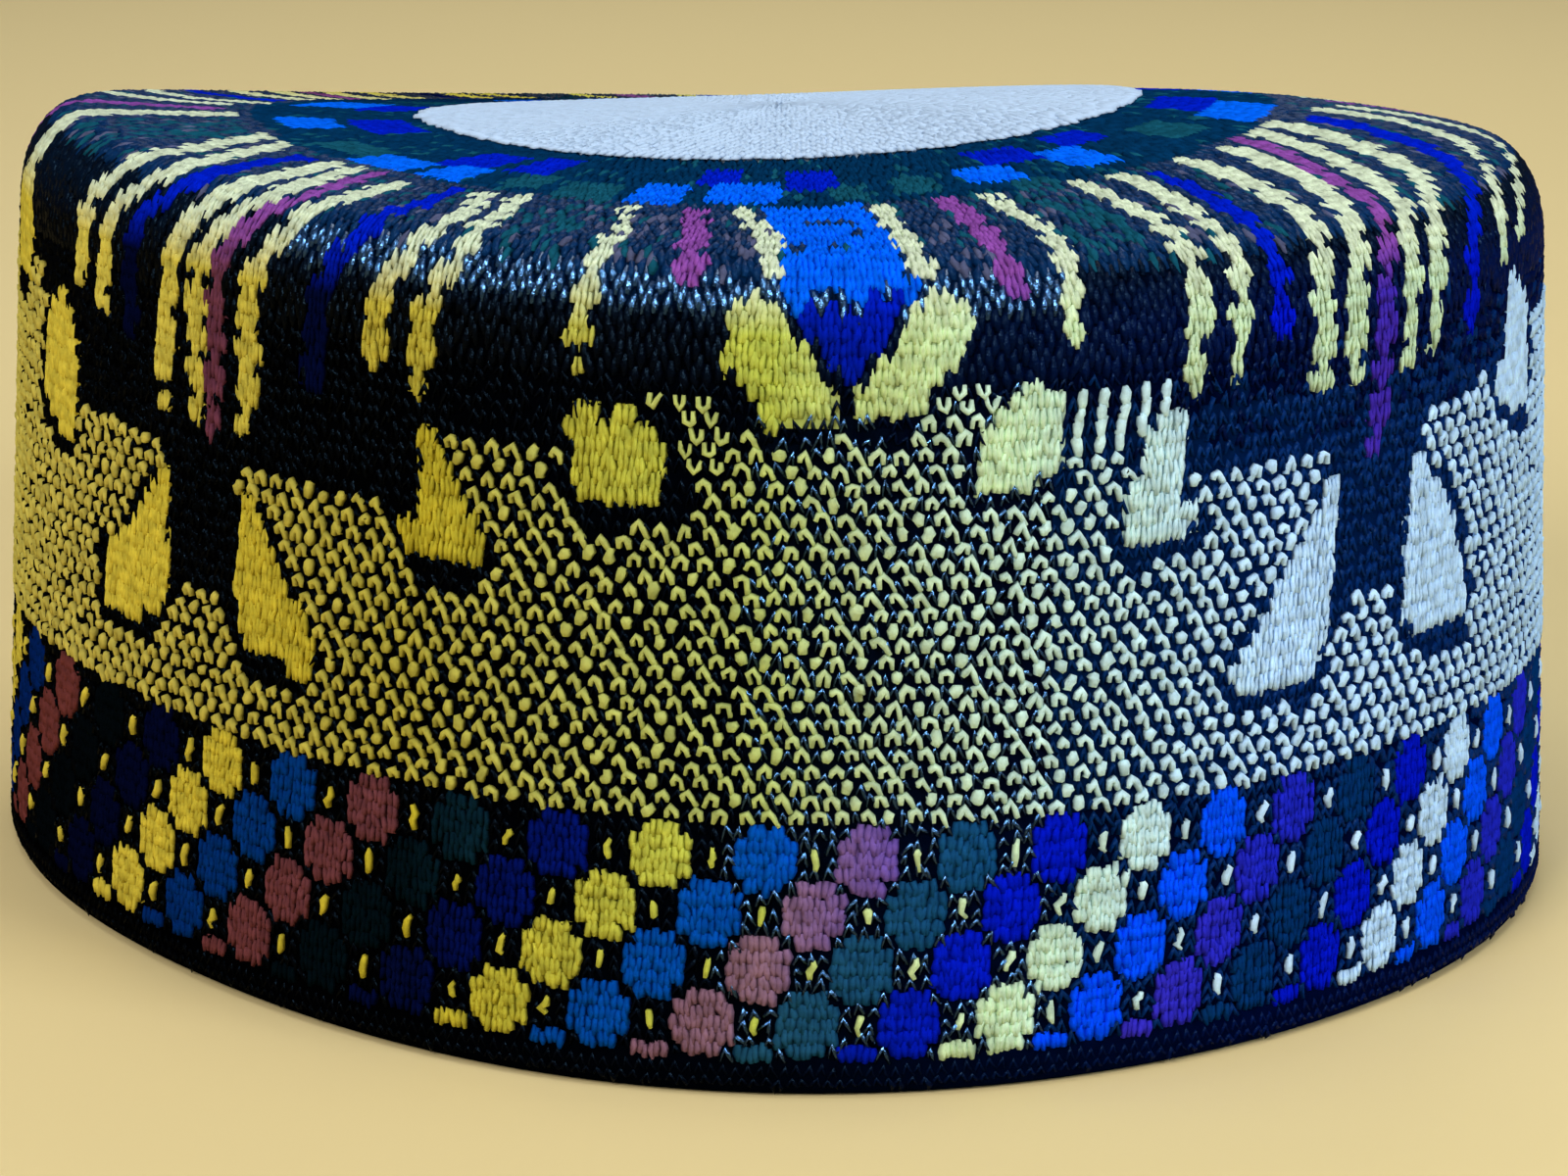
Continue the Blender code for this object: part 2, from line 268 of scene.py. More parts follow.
# Stripes of one motif: yarn, bottom and top, then height, middle and width at some heights
STRIPES = (
    ("purple", 46.0, 62.0, ((46, -106.0, 3.0), (50, -105.0, 3.4), (62, -107.5, 4.0))),
    ("ivory", 45.5, 62.5, ((46, -95.5, 4.6), (50, -94.0, 5.4), (54, -97.0, 5.0), (62, -100.5, 5.6))),
    ("ivory", 41.1, 64.0, ((42, -77.0, 3.0), (47, -76.4, 3.2), (50.5, -72.4, 3.6), (54, -72.6, 4.0),
                           (58, -76.2, 4.6), (62, -80.2, 5.0))),
    ("ivory", 40.6, 63.6, ((42, -72.5, 3.0), (47, -71.2, 3.2), (50.5, -65.8, 3.4), (54, -66.6, 3.8),
                           (58, -70.0, 4.4), (62, -73.6, 4.6))),
    ("navy", 39.7, 61.0, ((43, -67.0, 3.0), (47, -66.4, 3.0), (50.5, -61.4, 3.4), (54, -61.8, 3.6),
                          (58, -64.2, 4.0))),
    ("ivory", 36.0, 61.6, ((37, -61.0, 2.0), (39, -61.2, 3.4), (45.6, -60.6, 3.4), (48, -58.6, 3.4),
                           (51, -55.6, 3.6), (54.5, -56.2, 3.8), (61.4, -59.2, 4.0))),
    ("ivory", 35.8, 62.0, ((37, -56.2, 2.2), (41, -56.6, 3.2), (45.6, -56.2, 3.2), (48.4, -54.2, 3.2),
                           (51, -50.8, 3.4), (54.5, -51.6, 3.6), (62, -55.4, 3.8))),
    ("purple", 34.4, 61.4, ((35.5, -54.0, 2.4), (45.9, -53.5, 3.0), (48.5, -51.0, 2.6),
                            (52, -47.4, 2.4), (56.5, -49.2, 2.6), (61.4, -51.0, 3.0))),
    ("ivory", 35.9, 60.4, ((36.6, -49.8, 2.0), (39, -49.4, 3.2), (46, -48.8, 3.2), (49, -46.0, 3.0),
                           (52.5, -43.6, 3.2), (56, -44.2, 3.4), (60, -45.0, 3.4))),
    ("navy", 39.5, 61.0, ((40, -41.2, 3.2), (45, -41.0, 3.4), (50, -37.6, 3.0), (55, -36.5, 2.8),
                          (60, -37.6, 2.6))),
    ("ivory", 41.6, 60.6, ((42, -34.3, 2.2), (45, -34.4, 3.1), (48, -33.0, 3.0), (50.5, -30.8, 2.8),
                           (55, -30.4, 2.8), (60, -33.6, 2.8))),
    ("ivory", 40.8, 61.4, ((41, -29.9, 1.6), (45, -29.5, 3.0), (50, -26.9, 2.7), (55, -27.2, 2.7),
                           (60, -28.9, 3.2))),
    ("ivory", 43.6, 60.6, ((44, -15.6, 1.6), (46, -15.7, 2.8), (48, -15.1, 2.6), (55, -14.5, 2.1),
                           (60, -16.0, 2.1))),
    ("purple", 48.7, 61.2, ((48, -7.4, 3.0), (50, -7.0, 3.0), (55, -7.5, 2.8), (61, -8.8, 3.2))),
    ("ivory", 49.0, 61.6, ((49.2, 0.2, 0.8), (50.5, -0.2, 1.9), (55, -0.8, 2.6), (60, -3.4, 2.6))),
    ("ivory", 49.3, 63.2, ((49.5, 12.2, 1.0), (51, 11.9, 2.4), (55, 11.5, 2.5), (60, 11.2, 3.0),
                           (63, 11.4, 3.2))),
    ("purple", 47.8, 63.0, ((48, 19.4, 2.2), (50, 19.0, 2.8), (55, 19.2, 2.7), (60, 19.1, 3.4),
                            (63, 18.6, 3.6))),
    ("ivory", 44.6, 62.6, ((45, 23.6, 1.4), (47, 23.8, 2.6), (50, 24.2, 2.4), (55, 25.0, 2.5),
                           (60, 24.4, 2.5))),
    ("ivory", 41.8, 64.2, ((42, 34.6, 1.8), (46.5, 35.2, 2.8), (50, 35.6, 3.0), (55, 36.4, 3.0),
                           (60, 36.6, 3.3))),
    ("ivory", 42.0, 64.8, ((43, 38.6, 1.8), (46.5, 39.3, 2.6), (50, 39.9, 2.6), (55, 41.3, 3.2),
                           (60, 42.9, 3.4))),
    ("navy", 44.2, 62.6, ((44, 43.2, 2.6), (50, 43.9, 2.7), (55, 45.6, 3.0), (60, 47.0, 3.4))),
    ("ivory", 40.7, 65.6, ((42, 47.8, 2.8), (46, 47.9, 3.0), (50, 49.8, 3.0), (53.4, 51.8, 3.4),
                           (56.5, 53.2, 3.8), (62, 55.0, 4.2), (65.5, 53.6, 4.0))),
    ("ivory", 40.5, 65.8, ((42, 51.8, 2.6), (46, 52.0, 3.0), (50, 54.4, 3.0), (54, 58.0, 3.6),
                           (57, 60.5, 4.0), (62.4, 63.8, 4.4))),
    ("purple", 36.0, 65.6, ((37, 54.2, 2.4), (40, 54.9, 2.8), (46, 55.6, 2.8), (49.5, 58.2, 2.4),
                            (53, 61.0, 2.8), (57, 63.6, 3.0), (61, 67.4, 3.4), (65, 69.6, 3.6))),
    ("ivory", 40.4, 65.0, ((41, 58.6, 2.2), (45, 59.0, 2.8), (48.5, 60.6, 2.8), (51, 63.2, 3.0),
                           (54, 66.2, 3.8), (58, 70.0, 4.4), (64, 74.8, 4.8))),
    ("ivory", 41.0, 65.0, ((42, 62.4, 2.4), (45, 62.7, 2.8), (48.4, 64.4, 3.0), (50.7, 67.8, 3.2),
                           (53, 72.2, 4.0), (57, 77.0, 4.8), (62, 80.8, 5.4))),
    ("navy", 41.2, 63.0, ((42, 68.4, 2.6), (46, 69.2, 2.8), (48, 71.2, 3.0), (51, 76.8, 3.4),
                          (54.5, 83.4, 4.2), (60, 88.2, 4.8))),
    ("ivory", 44.6, 63.0, ((45, 75.4, 2.4), (47, 77.0, 3.0), (49, 78.9, 3.2), (50.5, 82.0, 3.4),
                           (52, 87.0, 3.8), (54, 92.0, 4.4), (58, 97.0, 4.8))),
    ("ivory", 46.0, 62.0, ((46.4, 81.5, 3.0), (47.7, 84.0, 3.2), (49, 87.5, 3.6), (50.5, 94.0, 4.0),
                           (52, 100.0, 4.4), (56, 104.5, 4.8))),
)
LOBE = 2.40               # height from one of a stripe's side teeth to the next
LOBE_DEPTH = 0.60
LOBE_BIAS = 0.2           # makes the teeth a little longer than the gaps between them
STRIPE_TRIM = 0.8         # taken off the charted width, as the strands spread

# The blue panel over the front tip, and the small dark slits in it
PANEL = ((0.6, 50.0), (0.6, 55.0), (-0.9, 58.5), (-2.2, 62.2), (9.4, 62.4), (10.4, 55.0), (10.2, 50.5),
         (11.6, 48.6), (9.6, 47.0), (7.4, 44.8), (5.6, 43.4), (3.6, 44.8), (1.6, 47.0), (0.2, 48.6))
PANEL_TIP = 48.2          # below this it is navy, on a wavy line
PANEL_WAVE = 0.9
PANEL_WAVE_TURN = 2.7     # radians of the wave to a column
PANEL_GLOSS = (47.0, 48.9)
PANEL_GLOSS_SHARE = 0.22  # share of glossy stitches between these heights
PANEL_SLITS = ((2.4, 7.8, 57.5, 58.3), (0.9, 2.4, 52.2, 53.8), (4.4, 6.4, 53.2, 54.0), (7.2, 8.2, 55.0, 56.6))

# Patches of the ring round the white centre: yarn, first and last column, first and last height
RING_PATCHES = (
    ("blue", -100.0, -86.0, 65.0, 69.0), ("navy", -98.0, -78.0, 69.5, 73.5),
    ("teal", -74.0, -60.0, 64.0, 67.5), ("blue", -61.0, -50.0, 62.0, 66.4),
    ("navy", -52.0, -43.0, 66.5, 72.0), ("blue", -48.0, -41.0, 62.6, 67.4),
    ("navy", -40.0, -33.0, 67.4, 73.0), ("teal", -36.0, -30.0, 63.4, 67.0),
    ("teal", -27.0, -19.5, 61.4, 66.4), ("blue", -17.5, -11.0, 61.6, 67.0),
    ("navy", -11.0, -5.0, 67.0, 72.0), ("blue", -8.5, 0.4, 62.4, 68.4), ("navy", 1.0, 8.4, 65.4, 71.0),
    ("teal", 6.5, 11.0, 63.4, 66.6), ("teal", 15.0, 20.4, 64.4, 67.8), ("teal", 29.0, 34.5, 62.6, 65.0),
    ("blue", 24.5, 33.0, 64.6, 68.8), ("navy", 31.0, 41.0, 68.8, 73.0),
    ("blue", 40.5, 49.0, 66.0, 70.4), ("navy", 48.0, 58.0, 70.2, 74.0),
    ("teal", 63.0, 73.0, 67.6, 71.0), ("blue", 80.0, 98.0, 65.2, 69.4),
    ("navy", 84.0, 102.0, 70.0, 74.0),
)

# Stray stitches over the crown's ground: yarn, columns, heights and share of the stitches
STRAYS = (
    ("fleck", -14.4, -10.4, 50.6, 59.0, 0.50), ("fleck", -5.2, -2.0, 49.6, 55.5, 0.45),
    ("fleck", 14.6, 17.2, 50.0, 58.0, 0.30), ("fleck", -24.0, -18.0, 49.6, 53.0, 0.30),
    ("teal", -25.0, -17.6, 50.0, 61.0, 0.45), ("teal", 26.4, 34.0, 51.0, 63.0, 0.55),
    ("teal", -53.0, -46.0, 52.0, 60.0, 0.25), ("teal", -92.0, -80.0, 50.0, 62.0, 0.50),
    ("fleck", -110.0, 110.0, 49.4, 62.0, 0.05), ("teal", -110.0, 110.0, 49.4, 75.0, 0.07),
)

# Glossy yarn in the dark ground, and dark ground painted bluish as painted light, by column of the motif and
# height
SPARK_FROM = 46.9         # the glossy line over the shoulder starts here
# the crown's bluish ground is painted sheen and light from above on the dark yarn
SLATE_FROM = 49.4         # and the crown's bluish ground here
SPARK_COLUMNS = (-46, 24)
# the bluish ground at the right is painted cool light on the dark yarn
DOTS_SPARK = 40.6         # below this the ground is glossy in the middle and bluish at the right
DOTS_SPARK_SPREAD = 1.6
DOTS_SPARK_COLUMN = -2
DOTS_SLATE_COLUMN = 22
LOZENGE_SPARK = (-4, 22)  # the same between the lozenges, by column round the cap
LOZENGE_SLATE = (22, 198)

# Where the stripes end and the ring starts, over the ring's edge, which sways round the cap
RING_SWAY = 1.3
STRIPES_OVER = 0.3
RING_OVER = 0.5

# Lozenge rows: tiers of lozenges whose yarns take turns
LOZENGE_YARNS = ("cream", "blue", "mauve", "teal", "navy")
LOZENGE_ROWS = 17
LOZENGE_ROW = (LOZENGE_TOP - HEM_TOP) / LOZENGE_ROWS
LOZENGE_TIERS = 5
LOZENGE_TOP_ROW = 14      # middle row of the highest tier
LOZENGE_STEP = 4          # rows and columns from one tier to the next
LOZENGE_PITCH = 8         # columns from one lozenge to the next
LOZENGE_LEAN = 0.05
LOZENGE_START = -8.3
LOZENGE_SWING = 7.8
LOZENGE_DRAW = 0.08       # share by which a lozenge's stitches are drawn in, which parts the lozenges

# The dotted ground and the leaves: rows of stitches that lean, a little narrower than the columns
DOT_COLUMNS = 470
DOT_ROWS = 28
DOT_ROW = 0.94
DOT_LEAN = 0.145
DOTS_END = LOZENGE_TOP + DOT_ROW * (DOT_ROWS + 0.05)
# Shares of the dots that are arches, and that are arches or stray ones; the rest are knots
ARCHES = 0.42
ARCHES_AND_STRAYS = 0.80
# Dots that lie another way: first and last column, and lowest height
UPRIGHT_DOTS = (23.0, 33.6, 38.6)
HOOKED_DOTS = ((-10.2, -3.5, 37.6), (10.9, 17.8, 41.0))

# Rows above the dots: their height, and how many stitches a row has below each height
CROWN_ROW = 0.80
CROWN_COUNTS = ((57.0, DOT_COLUMNS), (63.0, 400), (math.inf, 340))

# Hem: inset from the rim and height of its section, then height and size of its rows of stitches
HEM_LINE = ((HEM_THICKNESS, 0.0002), (0.0012, 0.0001), (0.0004, 0.0006), (0.0002, 0.0016),
            (0.0002, 0.0030), (0.0005, 0.0044), (0.0009, 0.0052), (HEM_THICKNESS, 0.0050))
HEM_ROWS = ((0.72, 0.85), (1.62, 0.95))

# White centre, in metres
CENTRE_INSET = 0.0005     # its disc starts this far inside the edge
CENTRE_ROW = 0.00115
CENTRE_STITCH = 0.00112
CENTRE_FIRST = 0.0006     # first row of stitches from the edge
CENTRE_LAST = 0.0012      # and the least that the last one stays from the middle

# How much stitches differ in lean, size, thickness and crest, as shares
LEAN_SPREAD = 0.10
SIZE_SPREAD = 0.07
THICK_SPREAD = 0.12
CREST_SPREAD = 0.14


def between(values, low, high):
    return (values > low) & (values < high)


def inside(outline, column, height):
    """True where a point is within an outline."""
    within = np.zeros(np.shape(column), bool)
    for (c0, h0), (c1, h1) in zip(outline, outline[1:] + outline[:1]):
        crosses = (h0 > height) != (h1 > height)
        slope = (c1 - c0) / (h1 - h0) if h1 != h0 else 0.0
        within ^= crosses & (column < c0 + slope * (height - h0))
    return within


def wrapped(column, around=COLUMNS):
    """The same column, counted from half a round before the front to half a round after it."""
    return (column + around / 2) % around - around / 2


def leaf_at(column, height):
    found = np.zeros(np.shape(column), bool)
    for outline in LEAVES:
        found |= inside(outline, column, height)
    return found


def stripe_at(column, height):
    """Code of the stripe's yarn at a point, or -1."""
    found = np.full(np.shape(column), -1)
    teeth = LOBE_DEPTH * np.sign(np.cos(2 * math.pi * height / LOBE) + LOBE_BIAS)
    for yarn, bottom, top, rows in STRIPES:
        table = np.array(rows)
        middle = np.interp(height, table[:, 0], table[:, 1])
        width = np.interp(height, table[:, 0], table[:, 2]) - STRIPE_TRIM + teeth
        for shift in (-MOTIF, 0, MOTIF):
            hit = (np.abs(column - middle - shift) < width / 2) & between(height, bottom, top)
            found[hit] = CODE[yarn]
    return found


def ring_edge(column):
    """Height where the stripes end and the ring starts; the ring lies a little off the middle."""
    turn = column * COLUMN_TURN
    return STRIPES_END + RING_SWAY * np.sin(turn) + RING_SWAY * (1 - np.cos(2 * turn))


def upper_chart(column, height):
    """Yarn code of a solid stitch above the lozenges, with dark yarns for the ground."""
    c = wrapped(column, MOTIF)
    code = np.full(np.shape(c), CODE["black"])
    code[between(height, SPARK_FROM, SLATE_FROM) & between(c, *SPARK_COLUMNS)] = CODE["spark"]
    low = height < DOTS_SPARK + rng.normal(0.0, DOTS_SPARK_SPREAD, np.shape(c))
    code[low & (c > DOTS_SPARK_COLUMN)] = CODE["spark"]
    # Slate at the right of the dotted ground and over the crown: the dark ground painted bluish, as painted
    # cool light and painted sheen
    code[low & (c > DOTS_SLATE_COLUMN)] = CODE["slate"]
    code[height > SLATE_FROM] = CODE["slate"]
    stripe = stripe_at(c, height)
    striped = (stripe >= 0) & (height < ring_edge(column) + STRIPES_OVER)
    code[striped] = stripe[striped]
    panel = inside(PANEL, c, height)
    code[panel] = CODE["blue"]
    code[panel & (height < PANEL_TIP + PANEL_WAVE * np.sin(PANEL_WAVE_TURN * c))] = CODE["navy"]
    glossy = between(height, *PANEL_GLOSS) & (rng.random(np.shape(c)) < PANEL_GLOSS_SHARE)
    code[panel & glossy] = CODE["spark"]
    for first, last, low, high in PANEL_SLITS:
        code[between(c, first, last) & between(height, low, high)] = CODE["slate"]
    code[leaf_at(c, height)] = CODE["cream"]
    ring = height > ring_edge(column) + RING_OVER
    code[ring] = CODE["ring"]
    for yarn, first, last, low, high in RING_PATCHES:
        for shift in (-MOTIF, 0, MOTIF):
            hit = ring & between(c, first + shift, last + shift) & between(height, low, high)
            code[hit] = CODE[yarn]
    return code


def strays_at(column, height, code):
    """The code with stray stitches of other yarns scattered over the crown's ground."""
    c = wrapped(column, MOTIF)
    ground = np.isin(code, (CODE["slate"], CODE["ring"]))
    mixed = code.copy()
    for yarn, first, last, low, high, share in STRAYS:
        within = ground & between(c, first, last) & between(height, low, high)
        mixed[within & (rng.random(len(code)) < share)] = CODE[yarn]
    return mixed


def dots_at(column, height):
    """True where the ground is dotted with light yarn."""
    c = wrapped(column, MOTIF)
    table = np.array(DOTS_TOP)
    under = height < np.interp(c, table[:, 0], table[:, 1])
    near = np.zeros(np.shape(c), bool)
    for dc, dh in LEAF_MARGIN:
        near |= leaf_at(c + dc, height + dh)
    return under & ~near & ~inside(WEDGE, c, height) & (stripe_at(c, height) < 0)


def lozenge_places():
    """Column, height and yarn code of the lozenge rows' stitches; whether each is single or in a core."""
    n, m = np.meshgrid(np.arange(COLUMNS), np.arange(LOZENGE_ROWS))
    swung = LOZENGE_START + n + LOZENGE_LEAN * (m - LOZENGE_TOP_ROW)
    column = swung
    for _ in range(6):
        column = swung - LOZENGE_SWING * np.sin(column * COLUMN_TURN) ** 2
    height = HEM_TOP + LOZENGE_ROW * (m + 0.5)
    code = np.full(n.shape, CODE["black"])
    single = np.zeros(n.shape, bool)
    core = np.zeros(n.shape, bool)
    half_pitch = LOZENGE_PITCH // 2
    for tier in range(LOZENGE_TIERS):
        dm = m - (LOZENGE_TOP_ROW - LOZENGE_STEP * tier)
        shifted = n + LOZENGE_STEP * tier + half_pitch
        dn = shifted % LOZENGE_PITCH - half_pitch
        index = (shifted // LOZENGE_PITCH) % len(LOZENGE_YARNS)
        half = np.where(np.abs(dm) <= 1, 2, 1)
        hit = (np.abs(dm) <= 2) & (np.abs(dn) <= half)
        for i, yarn in enumerate(LOZENGE_YARNS):
            code[hit & (index == i)] = CODE[yarn]
        single |= (dm == 0) & (dn == -half_pitch)
        core |= (np.abs(dm) <= 1) & (np.abs(dn) <= 1)
        column[hit] -= LOZENGE_DRAW * dn[hit]
        height[hit] -= LOZENGE_DRAW * dm[hit] * LOZENGE_ROW
    code[single] = CODE["cream"]
    return tuple(a.ravel() for a in (column, height, code, single, core))


# Ways a stitch's yarn lies: points across and up as shares of the stitch, half width of the yarn there
# as a share of the stitch's width, and height as a share of the crest
ARCH = ((-0.42, -0.46, 0.24, 0.50), (-0.37, 0.02, 0.31, 0.95), (0.00, 0.28, 0.34, 1.05),
        (0.37, 0.02, 0.31, 0.95), (0.44, -0.46, 0.24, 0.50))
STRAY = ((-0.40, -0.30, 0.24, 0.50), (-0.35, 0.06, 0.31, 0.95), (0.00, 0.30, 0.34, 1.05),
         (0.40, -0.02, 0.30, 0.90), (0.72, -0.66, 0.24, 0.50))
KNOT = ((-0.16, -0.44, 0.36, 0.55), (-0.08, -0.12, 0.54, 1.00), (0.04, 0.16, 0.56, 1.05),
        (0.10, 0.42, 0.36, 0.60))
HOOK = ((-0.46, 0.52, 0.21, 0.50), (-0.36, -0.06, 0.29, 0.90), (0.00, -0.34, 0.32, 1.05),
        (0.38, -0.02, 0.28, 0.90), (0.44, 0.46, 0.20, 0.50))
BAR = ((-0.10, -0.66, 0.28, 0.50), (-0.10, -0.20, 0.42, 0.95), (0.04, 0.30, 0.42, 1.00),
       (0.10, 0.66, 0.28, 0.45))
SEED = ((-0.10, -0.60, 0.20, 0.50), (-0.16, -0.20, 0.30, 0.95), (0.04, 0.30, 0.32, 1.00),
        (0.12, 0.62, 0.22, 0.45))
STRAND = ((-0.02, -0.68, 0.30, -0.10), (0.00, -0.05, 0.43, 0.42), (0.02, 0.64, 0.25, 0.10))
SHORT = ((-0.02, -0.62, 0.32, 0.00), (0.00, -0.04, 0.43, 0.42), (0.02, 0.58, 0.28, 0.10))
RIB = ((-0.03, -0.90, 0.40, -0.10), (0.00, -0.05, 0.62, 0.50), (0.03, 0.80, 0.38, 0.10))
FINE = ((-0.03, -0.90, 0.40, -0.10), (0.00, -0.05, 0.62, 0.20), (0.03, 0.80, 0.38, 0.05))
PLAIN = ((-0.40, -0.50, 0.28, 0.10), (0.00, 0.30, 0.34, 0.62), (0.42, -0.50, 0.28, 0.10))

# Section of the yarn across its way: share of the half width, and whether it lies on the crest
ROUND = ((1.0, False), (0.0, True), (-1.0, False))
FLAT = ((1.0, False), (0.62, True), (-0.62, True), (-1.0, False))


def yarn_mesh(name, column, height, wide, tall, way, spread=0.06, swell=1.0, section=ROUND, rise=0.06,
              foot=FOOT_DEPTH):
    """One mesh of closed little pieces of yarn that lie one way, one at each column and height."""
    count = len(column)
    points = np.array(way)
    steps = len(points)
    turn0 = np.asarray(column)[:, None] * COLUMN_TURN
    climb0 = np.asarray(height)[:, None] * UNIT
    wide = np.broadcast_to(np.asarray(wide, float), (count,))[:, None]
    tall = np.broadcast_to(np.asarray(tall, float), (count,))[:, None]
    lean = rng.normal(0.0, LEAN_SPREAD, (count, 1))
    size = 1 + rng.normal(0.0, SIZE_SPREAD, (count, 1))
    across = (points[None, :, 0] * size + rng.normal(0.0, spread, (count, steps))) * wide
    along = (points[None, :, 1] * size + rng.normal(0.0, spread, (count, steps))) * tall
    across = across + lean * along
    across = across + rng.normal(0.0, spread, (count, 1)) * wide
    along = along + rng.normal(0.0, rise, (count, 1)) * tall
    thick = points[None, :, 2] * wide * swell * (1 + rng.normal(0.0, THICK_SPREAD, (count, steps)))
    crest = CREST * points[None, :, 3] * (1 + rng.normal(0.0, CREST_SPREAD, (count, steps)))
    dx = np.gradient(across, axis=1)
    dy = np.gradient(along, axis=1)
    length = np.hypot(dx, dy) + 1e-9
    nx, ny = -dy / length, dx / length
    radius = np.maximum(radius_at(climb0), 0.01)
    lines = []
    for side, raised in section:
        u = across + nx * thick * side
        v = along + ny * thick * side
        out = crest if raised else np.full(u.shape, -foot)
        lines.append(on_cap(turn0 + u / radius, climb0 + v, out))
    verts = np.stack(lines, axis=2).reshape(-1, 3)
    sides = len(section)
    faces = []
    for k in range(steps - 1):
        for s in range(sides):
            t = (s + 1) % sides
            faces.append((sides * k + s, sides * k + t, sides * (k + 1) + t, sides * (k + 1) + s))
    base = np.arange(count)[:, None, None] * sides * steps
    last = sides * (steps - 1)
    if sides == 4:
        faces += [(3, 2, 1, 0), (last, last + 1, last + 2, last + 3)]
        return mesh_object(name, verts, (np.array(faces)[None] + base).reshape(-1, 4))
    caps = np.array(((0, 2, 1), (last, last + 1, last + 2)))
    quads = (np.array(faces)[None] + base).reshape(-1, 4)
    return mesh_object(name, verts, quads, (caps[None] + base).reshape(-1, 3))


def band_quads(low, high, count):
    """Faces between two rings of points, given by the rings' numbers."""
    a = np.arange(count)
    b = (a + 1) % count
    return np.stack([low * count + a, low * count + b, high * count + b, high * count + a], axis=1)


def closed_band(name, rings):
    """A mesh object through rings of points, the last of which joins the first."""
    number, count = len(rings), len(rings[0])
    quads = [band_quads(r, (r + 1) % number, count) for r in range(number)]
    return mesh_object(name, np.concatenate(rings), np.concatenate(quads))


def mesh_object(name, verts, quads, tris=None):
    """A mesh object from arrays, shaded smooth."""
    tris = np.zeros((0, 3), int) if tris is None else tris
    mesh = bpy.data.meshes.new(name)
    mesh.vertices.add(len(verts))
    mesh.vertices.foreach_set("co", np.asarray(verts, np.float32).ravel())
    corners = np.concatenate([quads.ravel(), tris.ravel()]).astype(np.int32)
    mesh.loops.add(len(corners))
    mesh.loops.foreach_set("vertex_index", corners)
    starts = np.concatenate([np.arange(len(quads)) * 4, len(quads) * 4 + np.arange(len(tris)) * 3])
    mesh.polygons.add(len(starts))
    mesh.polygons.foreach_set("loop_start", starts.astype(np.int32))
    mesh.polygons.foreach_set("use_smooth", np.ones(len(starts), bool))
    mesh.update(calc_edges=True)
    mesh.validate()
    piece = bpy.data.objects.new(name, mesh)
    bpy.context.scene.collection.objects.link(piece)
    return piece


def new_material(name):
    material = bpy.data.materials.new(name)
    material.use_nodes = True
    nodes = material.node_tree.nodes
    return material, nodes, material.node_tree.links, nodes["Principled BSDF"]


